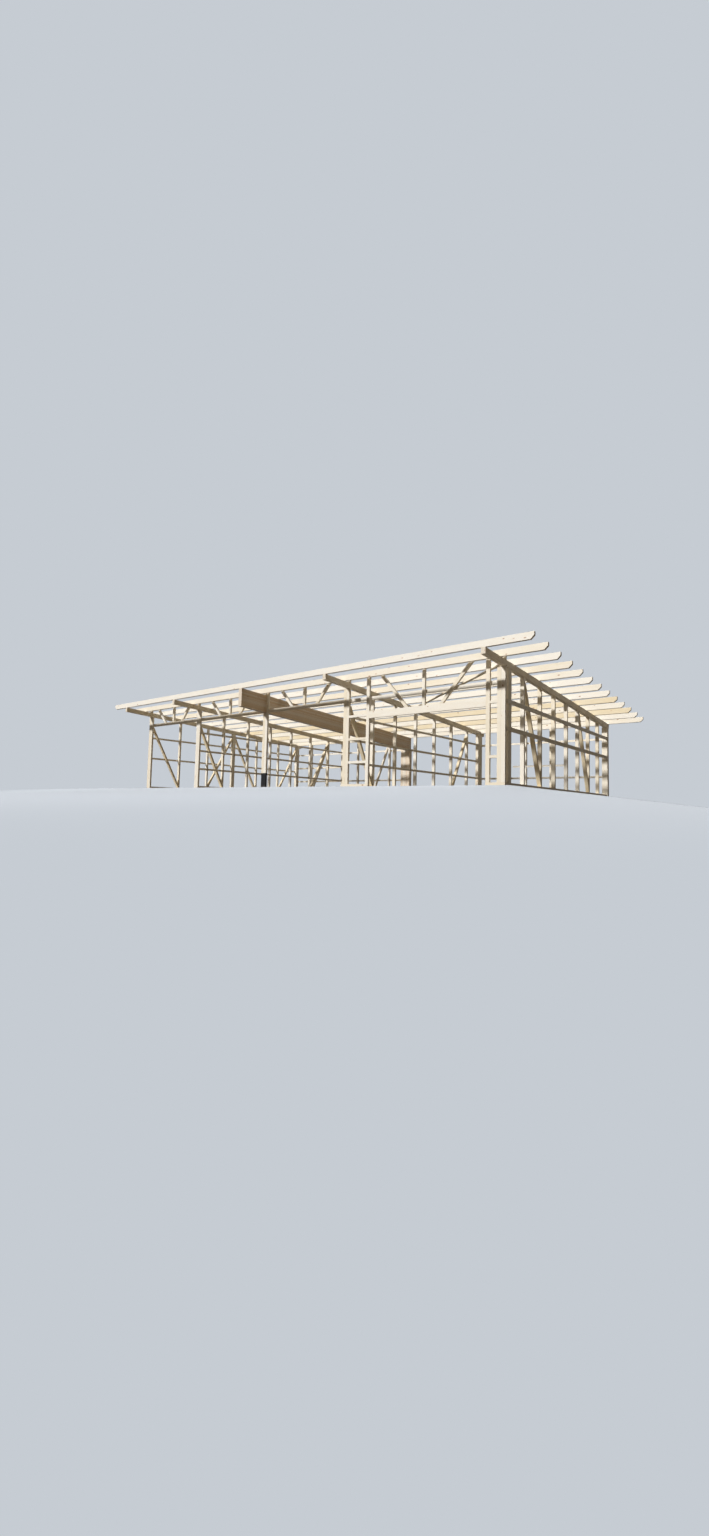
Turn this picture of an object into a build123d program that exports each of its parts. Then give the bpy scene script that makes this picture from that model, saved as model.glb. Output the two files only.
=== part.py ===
"""Timber roof frame of an open-fronted shed: a lean-to roof on posts, with a latticed front line.

X runs along the front, Y from the front to the back and Z up. The origin is at floor level, under the
middle of the roof. Lengths are millimetres. The post lines across the frame are a, b, c, d and e.
"""

import os
from math import cos, radians, sin, tan

from build123d import *

os.makedirs("parts", exist_ok=True)

# Plan of the frame
BAY_AB = 4400.0
BAY_BC = 5100.0
BAY_CD = 5000.0
BAY_DE = 6800.0
FRAME_DEPTH = 12000.0
LEFT_OVERHANG = 1200.0
RIGHT_OVERHANG = 1670.0
FRONT_OVERHANG = 1500.0
REAR_OVERHANG = 240.0

# Roof
ROOF_PITCH = 3.0
BEAM_UNDERSIDE = 4050.0
BEAM_WIDTH = 160.0
BEAM_HEIGHT = 220.0
BINDER_WIDTH = 200.0
BINDER_HEIGHT = 810.0
PURLIN_COUNT = 13
PURLIN_WIDTH = 100.0
PURLIN_HEIGHT = 240.0
PURLIN_END_BEVEL = 120.0
WIND_BRACE_WIDTH = 120.0
WIND_BRACE_THICKNESS = 40.0
WIND_BRACE_START = 260.0
WIND_BRACE_END = 5000.0

# Posts: each front post is two timbers side by side, flush with one face of its beam
POST_TIMBER_WIDTH = 148.0
POST_JOINT = 2.0
POST_DEPTH = 98.0
REAR_POST_WIDTHS = {"a": 200.0, "b": 200.0, "c": 640.0, "d": 160.0, "e": 260.0}
REAR_POST_DEPTHS = {"a": 240.0, "b": 240.0, "c": 240.0, "d": 480.0, "e": 240.0}

# Steel stub under post c: a channel with its web to the front, between two plates
STUB_HEIGHT = 650.0
STUB_FLANGE = 16.0
STUB_WEB = 10.0
STUB_ROOT_RADIUS = 16.0
STUB_TOE_RADIUS = 8.0
STUB_PLATE = 15.0

# Latticed front line
FRONT_THICKNESS = 98.0
CHORD_HEIGHT = 148.0
CHORD_PLANK = 60.0
TOP_PLATE_HEIGHT = 120.0
STRUT_WIDTH = 120.0
STRUT_FOOT_SPREAD = 750.0
STRUT_LEAN = 41.0

# Doorway in bay d to e, between two side panels
SIDE_PANEL_D = 890.0
SIDE_PANEL_E = 270.0
JAMB_WIDTH = 148.0
DOOR_HEAD = 2720.0
DOOR_HEADER_HEIGHT = 280.0

# Walls
SOLE_HEIGHT = 100.0
STUD_WIDTH = 98.0
WALL_THICKNESS = 148.0
BROAD_STUD_WIDTH = 240.0
RAIL_LEVELS = (980.0, 1920.0, 2860.0)
RAIL_LEVELS_OF_WALL = {
    "a": (1700.0, 2860.0),
    "b": (980.0, 1920.0, 2860.0),
    "d": (980.0, 1920.0, 2860.0),
    "e": (1920.0, 2860.0),
}
RAIL_HEIGHT = 98.0
RAIL_HEIGHT_WALL_E = 148.0
RAIL_THICKNESS = 48.0
BRACE_WIDTH = 98.0
BRACE_DROPS = {
    "a": (480.0, 270.0, 270.0, 130.0),
    "b": (730.0, 200.0),
    "d": (730.0, 300.0),
    "e": (200.0, 130.0),
}
HEAD_RAIL_HEIGHT = 98.0
WALL_E_FIRST_STUDS = (404.0, 1650.0, 3280.0)

# Post lines and the roof slope, worked out from the plan
slope = tan(radians(ROOF_PITCH))
slope_cos = cos(radians(ROOF_PITCH))
slope_sin = sin(radians(ROOF_PITCH))
overall_length = LEFT_OVERHANG + BAY_AB + BAY_BC + BAY_CD + BAY_DE + RIGHT_OVERHANG
overall_depth = FRONT_OVERHANG + FRAME_DEPTH + REAR_OVERHANG + PURLIN_HEIGHT * slope_sin
left_end = -overall_length / 2
front_end = -overall_depth / 2
front = front_end + FRONT_OVERHANG
rear = front + FRAME_DEPTH
rear_end = rear + REAR_OVERHANG
line_x = {"a": left_end + LEFT_OVERHANG}
line_x["b"] = line_x["a"] + BAY_AB
line_x["c"] = line_x["b"] + BAY_BC
line_x["d"] = line_x["c"] + BAY_CD
line_x["e"] = line_x["d"] + BAY_DE


def beam_underside(y):
    """Height of the roof beams' underside at the depth y."""
    return BEAM_UNDERSIDE - (y - front) * slope


def beam_top(y):
    """Height of the plane on which the purlins lie, at the depth y."""
    return beam_underside(y) + BEAM_HEIGHT / slope_cos


def binder_underside(y):
    """Height of the deep binder's underside at the depth y."""
    return beam_top(y) - BINDER_HEIGHT / slope_cos


beam_widths = {line: BINDER_WIDTH if line == "c" else BEAM_WIDTH for line in line_x}
chord_bottom = binder_underside(front)
chord_top = chord_bottom + CHORD_HEIGHT
lattice_back = front + FRONT_THICKNESS
plate_top = beam_top(lattice_back) + PURLIN_HEIGHT / slope_cos
plate_bottom = plate_top - TOP_PLATE_HEIGHT
door_header_top = DOOR_HEAD + DOOR_HEADER_HEIGHT
roof_plane = Plane(
    origin=(0, front_end, beam_top(front_end)),
    x_dir=(1, 0, 0),
    z_dir=(0, slope_sin, slope_cos),
)


def timber(x_span, y_span, z_span):
    """Add a square-cut timber that fills three spans."""
    with BuildSketch(Plane.XY.offset(z_span[0])) as plan:
        with Locations((x_span[0], y_span[0])):
            Rectangle(x_span[1] - x_span[0], y_span[1] - y_span[0], align=(Align.MIN, Align.MIN))
    extrude(plan.sketch, amount=z_span[1] - z_span[0])


def timber_seen_from_side(x_span, corners):
    """Add a timber whose outline in Y and Z is cut square across X."""
    with BuildSketch(Plane.YZ.offset(x_span[0])) as outline:
        Polygon(*corners, align=None)
    extrude(outline.sketch, amount=x_span[1] - x_span[0])


def under_slope(x_span, y_span, bottom, top):
    """Add an upright timber whose head is cut to the slope that top gives."""
    corners = [
        (y_span[0], bottom),
        (y_span[1], bottom),
        (y_span[1], top(y_span[1])),
        (y_span[0], top(y_span[0])),
    ]
    timber_seen_from_side(x_span, corners)


def centred(middle, width):
    """Span of a width about its middle."""
    return (middle - width / 2, middle + width / 2)


def brace_in_panel(plane, panel, foot, head, thickness):
    """Add a diagonal between two corners of a panel, cut to the panel's sides.

    The panel is a span across and a span up in the plane, and foot and head are points on its outline
    through which the brace's lower edge passes.
    """
    across = head[0] - foot[0]
    up = head[1] - foot[1]
    length = (across**2 + up**2) ** 0.5
    side = 1 if across < 0 else -1
    shift = (side * up / length * BRACE_WIDTH, -side * across / length * BRACE_WIDTH)
    beyond = (across / length * BRACE_WIDTH * 2, up / length * BRACE_WIDTH * 2)
    low = (foot[0] - beyond[0], foot[1] - beyond[1])
    high = (head[0] + beyond[0], head[1] + beyond[1])
    with BuildSketch(plane) as outline:
        Polygon(
            low,
            high,
            (high[0] + shift[0], high[1] + shift[1]),
            (low[0] + shift[0], low[1] + shift[1]),
            align=None,
        )
        with Locations((panel[0][0], panel[1][0])):
            Rectangle(
                panel[0][1] - panel[0][0],
                panel[1][1] - panel[1][0],
                align=(Align.MIN, Align.MIN),
                mode=Mode.INTERSECT,
            )
    extrude(outline.sketch, amount=thickness)


def post_span(line):
    """Span of a front post: flush with its beam's left face up to line c, and its right face beyond."""
    half = beam_widths[line] / 2
    width = 2 * POST_TIMBER_WIDTH
    if line in ("a", "b", "c"):
        return (line_x[line] - half, line_x[line] - half + width)
    return (line_x[line] + half - width, line_x[line] + half)


def save(part, name):
    """Label a finished piece and write it to its own file."""
    part.label = name
    export_step(part, f"parts/{name}.step")


def build_front_post(line):
    """Front post of two timbers side by side, their heads cut to the slope under the beam or binder."""
    foot = {"c": STUB_HEIGHT, "d": SOLE_HEIGHT, "e": SOLE_HEIGHT}.get(line, 0.0)
    top = binder_underside if line == "c" else beam_underside
    left, right = post_span(line)
    joint = centred((left + right) / 2, POST_JOINT)
    depth = (front, front + POST_DEPTH)
    with BuildPart() as post:
        under_slope((left, joint[0]), depth, foot, top)
        under_slope((joint[1], right), depth, foot, top)
    return post.part


def build_rear_post(line):
    """Rear post, its head cut to the slope under its beam or binder."""
    top = binder_underside if line == "c" else beam_underside
    with BuildPart() as post:
        under_slope(
            centred(line_x[line], REAR_POST_WIDTHS[line]),
            (rear - REAR_POST_DEPTHS[line], rear),
            0.0,
            top,
        )
    return post.part


def build_steel_stub():
    """Steel channel between a base plate and a cap plate, which carries post c clear of the floor."""
    left, right = post_span("c")
    corner = (left, front)
    with BuildPart() as stub:
        with BuildSketch(Plane.XY.offset(STUB_PLATE)) as section:
            with Locations(corner):
                Rectangle(right - left, POST_DEPTH, align=(Align.MIN, Align.MIN))
            with Locations((left + STUB_FLANGE, front + STUB_WEB)):
                Rectangle(
                    right - left - 2 * STUB_FLANGE,
                    POST_DEPTH,
                    align=(Align.MIN, Align.MIN),
                    mode=Mode.SUBTRACT,
                )
            inner = [
                point
                for point in section.vertices()
                if left + STUB_FLANGE / 2 < point.X < right - STUB_FLANGE / 2
            ]
            roots = [point for point in inner if point.Y < front + POST_DEPTH / 2]
            toes = [point for point in inner if point.Y > front + POST_DEPTH / 2]
            fillet(roots, STUB_ROOT_RADIUS)
            fillet(toes, STUB_TOE_RADIUS)
        extrude(amount=STUB_HEIGHT - 2 * STUB_PLATE)
        for level in (0.0, STUB_HEIGHT - STUB_PLATE):
            with BuildSketch(Plane.XY.offset(level)):
                with Locations(corner):
                    Rectangle(right - left, POST_DEPTH, align=(Align.MIN, Align.MIN))
            extrude(amount=STUB_PLATE)
    return stub.part


def build_roof_beam(line):
    """Sloping roof beam with plumb-cut ends."""
    underside = binder_underside if line == "c" else beam_underside
    corners = [
        (front_end, underside(front_end)),
        (rear_end, underside(rear_end)),
        (rear_end, beam_top(rear_end)),
        (front_end, beam_top(front_end)),
    ]
    with BuildPart() as beam:
        timber_seen_from_side(centred(line_x[line], beam_widths[line]), corners)
    return beam.part


def build_purlin(number):
    """Purlin square to the slope, with the lower corner of both ends bevelled off."""
    slope_length = (rear_end - front_end) / slope_cos
    step = (slope_length - PURLIN_WIDTH) / (PURLIN_COUNT - 1)
    back_face = roof_plane.from_local_coords((0, number * step + PURLIN_WIDTH, 0))
    with BuildPart() as purlin:
        with BuildSketch(Plane(origin=back_face, x_dir=(1, 0, 0), z_dir=-roof_plane.y_dir)) as elevation:
            with Locations((left_end, 0)):
                Rectangle(overall_length, PURLIN_HEIGHT, align=(Align.MIN, Align.MIN))
            chamfer(elevation.vertices().group_by(Axis.Y)[0], PURLIN_END_BEVEL)
        extrude(amount=PURLIN_WIDTH)
    return purlin.part


def build_wind_brace():
    """Flat plank under the purlins, running from beam e at the front back to beam d."""
    x_left = line_x["d"] + BEAM_WIDTH / 2
    x_right = line_x["e"] - BEAM_WIDTH / 2
    near = (FRONT_OVERHANG + WIND_BRACE_START) / slope_cos
    far = (FRONT_OVERHANG + WIND_BRACE_END) / slope_cos
    run = (x_right - x_left, near - far)
    length = (run[0] ** 2 + run[1] ** 2) ** 0.5
    half = (-run[1] / length * WIND_BRACE_WIDTH / 2, run[0] / length * WIND_BRACE_WIDTH / 2)
    beyond = (run[0] / length * WIND_BRACE_WIDTH, run[1] / length * WIND_BRACE_WIDTH)
    with BuildPart() as plank:
        with BuildSketch(roof_plane) as outline:
            Polygon(
                (x_left - beyond[0] - half[0], far - beyond[1] - half[1]),
                (x_right + beyond[0] - half[0], near + beyond[1] - half[1]),
                (x_right + beyond[0] + half[0], near + beyond[1] + half[1]),
                (x_left - beyond[0] + half[0], far - beyond[1] + half[1]),
                align=None,
            )
            with Locations((x_left, 0)):
                Rectangle(
                    x_right - x_left,
                    2 * far,
                    align=(Align.MIN, Align.MIN),
                    mode=Mode.INTERSECT,
                )
        extrude(outline.sketch, amount=-WIND_BRACE_THICKNESS)
    return plank.part


def post_faces(left, right):
    """Clear span along the front between two front posts."""
    return (post_span(left)[1], post_span(right)[0])


def build_front_chords():
    """Lower chords of the lattice, one for each bay; behind the posts and jambs in bay d to e."""
    lattice = (front, lattice_back)
    level = (chord_bottom, chord_top)
    binder = centred(line_x["c"], BINDER_WIDTH)
    lap = POST_TIMBER_WIDTH
    with BuildPart() as chords:
        timber(post_faces("a", "b"), lattice, level)
        timber((post_faces("b", "c")[0], binder[0]), lattice, level)
        timber((binder[1], post_faces("c", "d")[1]), lattice, level)
        timber((bay_de[0] - lap, bay_de[1] + lap), (lattice_back, lattice_back + CHORD_PLANK), level)
    return chords.part


def add_struts(middle, bottom):
    """Add an upright strut and the two struts that spread beside it, up to the top plate."""
    lean = (plate_bottom - bottom) * tan(radians(STRUT_LEAN))
    level_half = STRUT_WIDTH / cos(radians(STRUT_LEAN)) / 2
    timber(centred(middle, STRUT_WIDTH), (front, lattice_back), (bottom, plate_bottom))
    for side in (-1, 1):
        foot = middle + side * STRUT_FOOT_SPREAD
        head = foot + side * lean
        with BuildSketch(Plane.XZ.offset(-lattice_back)) as outline:
            Polygon(
                (foot - level_half, bottom),
                (foot + level_half, bottom),
                (head + level_half, plate_bottom),
                (head - level_half, plate_bottom),
                align=None,
            )
        extrude(outline.sketch, amount=FRONT_THICKNESS)


def build_front_struts():
    """Struts of the lattice: three in each bay, on the lower chord or on the door header."""
    with BuildPart() as struts:
        for left, right in (("a", "b"), ("b", "c"), ("c", "d")):
            add_struts((line_x[left] + line_x[right]) / 2, chord_top)
        add_struts((left_jamb[0] + right_jamb[1]) / 2, door_header_top)
    return struts.part


def build_top_plate():
    """Plate over the whole front line, its top level with the purlins."""
    with BuildPart() as plate:
        timber(
            (line_x["a"] - BEAM_WIDTH / 2, line_x["e"] + BEAM_WIDTH / 2),
            (front, lattice_back),
            (plate_bottom, plate_top),
        )
    return plate.part


def build_plate_packers():
    """Blocks between the roof beams and the top plate, cut to the slope below."""
    with BuildPart() as packers:
        for line in line_x:
            corners = [
                (front, beam_top(front)),
                (lattice_back, beam_top(lattice_back)),
                (lattice_back, plate_bottom),
                (front, plate_bottom),
            ]
            timber_seen_from_side(centred(line_x[line], BEAM_WIDTH), corners)
    return packers.part


# Sides of the doorway in bay d to e
bay_de = post_faces("d", "e")
left_jamb = (bay_de[0] + SIDE_PANEL_D, bay_de[0] + SIDE_PANEL_D + JAMB_WIDTH)
right_jamb = (bay_de[1] - SIDE_PANEL_E - JAMB_WIDTH, bay_de[1] - SIDE_PANEL_E)


def build_door_jambs():
    """Jambs of the doorway, from the sole pieces up to the top plate."""
    with BuildPart() as jambs:
        for jamb in (left_jamb, right_jamb):
            timber(jamb, (front, lattice_back), (SOLE_HEIGHT, plate_bottom))
    return jambs.part


def build_door_header():
    """Deep header over the doorway, which carries the struts of its bay."""
    with BuildPart() as header:
        timber((left_jamb[1], right_jamb[0]), (front, lattice_back), (DOOR_HEAD, door_header_top))
    return header.part


def build_side_panel_rails():
    """Short rails between the doorway's jambs and posts d and e."""
    with BuildPart() as rails:
        for level in RAIL_LEVELS:
            timber(
                (bay_de[0], left_jamb[0]),
                (front, lattice_back),
                centred(level, RAIL_HEIGHT),
            )
        for level in (RAIL_LEVELS[0], RAIL_LEVELS[-1]):
            timber(
                (right_jamb[1], bay_de[1]),
                (front, lattice_back),
                centred(level, RAIL_HEIGHT),
            )
    return rails.part


def build_front_soles():
    """Sole pieces under posts d and e and the jambs beside them."""
    with BuildPart() as soles:
        timber(
            (post_span("d")[0], left_jamb[1]),
            (front, front + POST_DEPTH),
            (0, SOLE_HEIGHT),
        )
        timber(
            (right_jamb[0], post_span("e")[1]),
            (front, front + POST_DEPTH),
            (0, SOLE_HEIGHT),
        )
    return soles.part


# Walls that run from front to back under beams a, b, d and e
def wall_inside(line):
    """Clear span in depth between a wall's front post and its rear post."""
    return (front + POST_DEPTH, rear - REAR_POST_DEPTHS[line])


def even_studs(start, end, spaces):
    """Middles of the studs that divide a length into equal spaces."""
    return [start + (end - start) * number / spaces for number in range(1, spaces)]


wall_e_start = [front + distance for distance in WALL_E_FIRST_STUDS]
WALL_STUDS = {
    "a": even_studs(front, rear, 6),
    "b": even_studs(front, rear, 7),
    "d": even_studs(front, rear, 7),
    "e": wall_e_start + even_studs(wall_e_start[-1], rear, 6),
}
# Number of the one broad stud of walls a and e, counted from the front
BROAD_STUD = {"a": 2, "e": 0}
# Panels that hold a brace, counted from the front, and the end of the panel at which its head is
BRACE_PANELS = {"a": (0, 2, 3, 5), "b": (0, 5), "d": (0, 5), "e": (2, 6)}
BRACE_HEAD_ENDS = {
    "a": ("front", "rear", "front", "rear"),
    "b": ("front", "rear"),
    "d": ("front", "rear"),
    "e": ("front", "front"),
}
RAIL_SIDE = {"a": -1, "b": 1, "d": 1, "e": 1}


def stud_span(line, number):
    """Span in depth of one stud of a wall."""
    width = BROAD_STUD_WIDTH if BROAD_STUD.get(line) == number else STUD_WIDTH
    return centred(WALL_STUDS[line][number], width)


def build_wall_sole(line):
    """Sole of a wall, from its front post to its rear post."""
    with BuildPart() as sole:
        timber(centred(line_x[line], WALL_THICKNESS), wall_inside(line), (0, SOLE_HEIGHT))
    return sole.part


def build_wall_studs(line):
    """Studs of a wall, cut to the slope under the roof beam."""
    with BuildPart() as studs:
        for number in range(len(WALL_STUDS[line])):
            under_slope(
                centred(line_x[line], WALL_THICKNESS),
                stud_span(line, number),
                SOLE_HEIGHT,
                beam_underside,
            )
    return studs.part


def build_wall_rails(line):
    """Rails on one face of a wall's studs, from post to post."""
    levels = RAIL_LEVELS_OF_WALL[line]
    height = RAIL_HEIGHT_WALL_E if line == "e" else RAIL_HEIGHT
    near = line_x[line] + RAIL_SIDE[line] * WALL_THICKNESS / 2
    far = near + RAIL_SIDE[line] * RAIL_THICKNESS
    with BuildPart() as rails:
        for level in levels:
            timber((min(near, far), max(near, far)), wall_inside(line), centred(level, height))
    return rails.part


def build_wall_braces(line):
    """Diagonal braces between a wall's studs, each in its own panel."""
    edges = [wall_inside(line)[0]]
    for number in range(len(WALL_STUDS[line])):
        edges.extend(stud_span(line, number))
    edges.append(wall_inside(line)[1])
    plane = Plane.YZ.offset(line_x[line] - WALL_THICKNESS / 2)
    with BuildPart() as braces:
        for number, end, drop in zip(BRACE_PANELS[line], BRACE_HEAD_ENDS[line], BRACE_DROPS[line]):
            panel = (edges[2 * number], edges[2 * number + 1])
            head_side, foot_side = panel if end == "front" else panel[::-1]
            top = beam_underside(head_side) - drop
            brace_in_panel(
                plane,
                (panel, (SOLE_HEIGHT, top)),
                (foot_side, SOLE_HEIGHT),
                (head_side, top - BRACE_WIDTH),
                WALL_THICKNESS,
            )
    return braces.part


# Rear wall, between the rear posts: post lines, spaces between studs and levels of the rails of a bay.
# Bay c to d is open at the rear.
REAR_BAYS = (
    ("a", "b", 3, (980.0, 1920.0, 2860.0)),
    ("b", "c", 4, (980.0, 2860.0)),
    ("d", "e", 5, (980.0, 2860.0)),
)
REAR_BRACE_PANELS = (0, 1)
REAR_BRACE_DROP = 290.0
rear_frame = (rear - RAIL_THICKNESS - WALL_THICKNESS, rear - RAIL_THICKNESS)
rear_head = beam_top(rear_frame[1]) - HEAD_RAIL_HEIGHT


def rear_clear(left, right):
    """Clear span between two rear posts."""
    return (
        line_x[left] + REAR_POST_WIDTHS[left] / 2,
        line_x[right] - REAR_POST_WIDTHS[right] / 2,
    )


def build_rear_soles():
    """Soles of the rear wall."""
    with BuildPart() as soles:
        for left, right, _, _ in REAR_BAYS:
            timber(rear_clear(left, right), rear_frame, (0, SOLE_HEIGHT))
    return soles.part


def build_rear_head_rails():
    """Head rails of the rear wall, between the roof beams and level with their tops."""
    with BuildPart() as heads:
        for left, right, _, _ in REAR_BAYS:
            clear = (
                line_x[left] + beam_widths[left] / 2,
                line_x[right] - beam_widths[right] / 2,
            )
            timber(clear, rear_frame, (rear_head, rear_head + HEAD_RAIL_HEIGHT))
    return heads.part


def build_rear_studs():
    """Studs of the rear wall."""
    with BuildPart() as studs:
        for left, right, spaces, _ in REAR_BAYS:
            for middle in even_studs(line_x[left], line_x[right], spaces):
                timber(centred(middle, STUD_WIDTH), rear_frame, (SOLE_HEIGHT, rear_head))
    return studs.part


def build_rear_rails():
    """Rails on the outer face of the rear studs."""
    with BuildPart() as rails:
        for left, right, _, levels in REAR_BAYS:
            for level in levels:
                timber(rear_clear(left, right), (rear - RAIL_THICKNESS, rear), centred(level, RAIL_HEIGHT))
    return rails.part


def build_rear_braces():
    """Diagonal braces of the rear wall, between two studs of each of the first two bays."""
    middle_of_frame = (rear_frame[0] + rear_frame[1]) / 2
    plane = Plane.XZ.offset(-middle_of_frame - WALL_THICKNESS / 2)
    top = rear_head - REAR_BRACE_DROP
    with BuildPart() as braces:
        for (left, right, spaces, _), number in zip(REAR_BAYS[:2], REAR_BRACE_PANELS):
            middles = even_studs(line_x[left], line_x[right], spaces)
            panel = (middles[number] + STUD_WIDTH / 2, middles[number + 1] - STUD_WIDTH / 2)
            brace_in_panel(
                plane,
                (panel, (SOLE_HEIGHT, top)),
                (panel[0], SOLE_HEIGHT),
                (panel[1], top - BRACE_WIDTH),
                WALL_THICKNESS,
            )
    return braces.part


for line in line_x:
    save(build_front_post(line), f"front_post_{line}")
    save(build_rear_post(line), f"rear_post_{line}")
    save(build_roof_beam(line), "deep_binder_c" if line == "c" else f"roof_beam_{line}")
save(build_steel_stub(), "steel_stub_c")
for number in range(PURLIN_COUNT):
    save(build_purlin(number), f"purlin_{number + 1:02d}")
save(build_wind_brace(), "wind_brace")

save(build_front_chords(), "front_chords")
save(build_front_struts(), "front_struts")
save(build_top_plate(), "front_top_plate")
save(build_plate_packers(), "plate_packers")
save(build_door_jambs(), "door_jambs")
save(build_door_header(), "door_header")
save(build_side_panel_rails(), "side_panel_rails")
save(build_front_soles(), "front_soles")

for line in WALL_STUDS:
    save(build_wall_sole(line), f"sole_{line}")
    save(build_wall_studs(line), f"studs_{line}")
    save(build_wall_rails(line), f"rails_{line}")
    save(build_wall_braces(line), f"braces_{line}")
save(build_rear_soles(), "rear_soles")
save(build_rear_head_rails(), "rear_head_rails")
save(build_rear_studs(), "rear_studs")
save(build_rear_rails(), "rear_rails")
save(build_rear_braces(), "rear_braces")
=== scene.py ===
"""Looks of an open-fronted timber roof frame: sawn spruce, glued spruce, black steel and zinc fasteners.

X runs along the front, Y from the front to the back and Z up, in metres. The post lines across the
frame are a, b, c, d and e, and purlin_01 is the front purlin.
"""
import logging
import math
import random
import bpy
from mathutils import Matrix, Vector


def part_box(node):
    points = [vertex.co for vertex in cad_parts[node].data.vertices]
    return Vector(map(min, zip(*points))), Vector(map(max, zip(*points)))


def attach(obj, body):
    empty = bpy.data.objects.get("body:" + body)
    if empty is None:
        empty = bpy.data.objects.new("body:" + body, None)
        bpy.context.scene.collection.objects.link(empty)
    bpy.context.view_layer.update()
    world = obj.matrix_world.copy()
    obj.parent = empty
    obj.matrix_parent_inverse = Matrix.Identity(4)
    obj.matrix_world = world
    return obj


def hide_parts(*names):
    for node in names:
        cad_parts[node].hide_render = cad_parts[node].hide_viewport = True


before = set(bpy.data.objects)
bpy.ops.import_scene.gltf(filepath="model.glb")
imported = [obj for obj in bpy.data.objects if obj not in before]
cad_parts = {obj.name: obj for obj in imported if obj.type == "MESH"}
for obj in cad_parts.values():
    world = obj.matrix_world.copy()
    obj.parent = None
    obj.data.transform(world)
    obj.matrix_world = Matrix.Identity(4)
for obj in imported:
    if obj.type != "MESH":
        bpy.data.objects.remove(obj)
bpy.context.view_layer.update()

import zlib
from dataclasses import dataclass, field
from enum import Enum
from typing import Iterable, Sequence

import bmesh
import bpy
from mathutils import Euler, Matrix, Vector

BODY = "root"
BINDER = "deep_binder_c"
STUB = "steel_stub_c"
LINES = ("a", "b", "c", "d", "e")
WALL_LINES = ("a", "b", "d", "e")
PURLINS = 13
PURLIN_HALF_DEEP = 0.05
PURLIN_HALF_HIGH = 0.12
PITCH = math.radians(3.0)
SLOPE_DOWN = Vector((0.0, math.cos(PITCH), -math.sin(PITCH)))
SLOPE_NORMAL = Vector((0.0, math.sin(PITCH), math.cos(PITCH)))
RIGHT = Vector((1.0, 0.0, 0.0))
BACK = Vector((0.0, 1.0, 0.0))
UP = Vector((0.0, 0.0, 1.0))

Socket = bpy.types.NodeSocket
Material = bpy.types.Material
Colour = tuple[float, float, float, float]

log = logging.getLogger("timber_frame")


class Cut(Enum):
    """How a timber was made, which settles its finish and the slot that it takes it from."""

    SAWN = "spruce"
    GLUED = "glulam"


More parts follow.
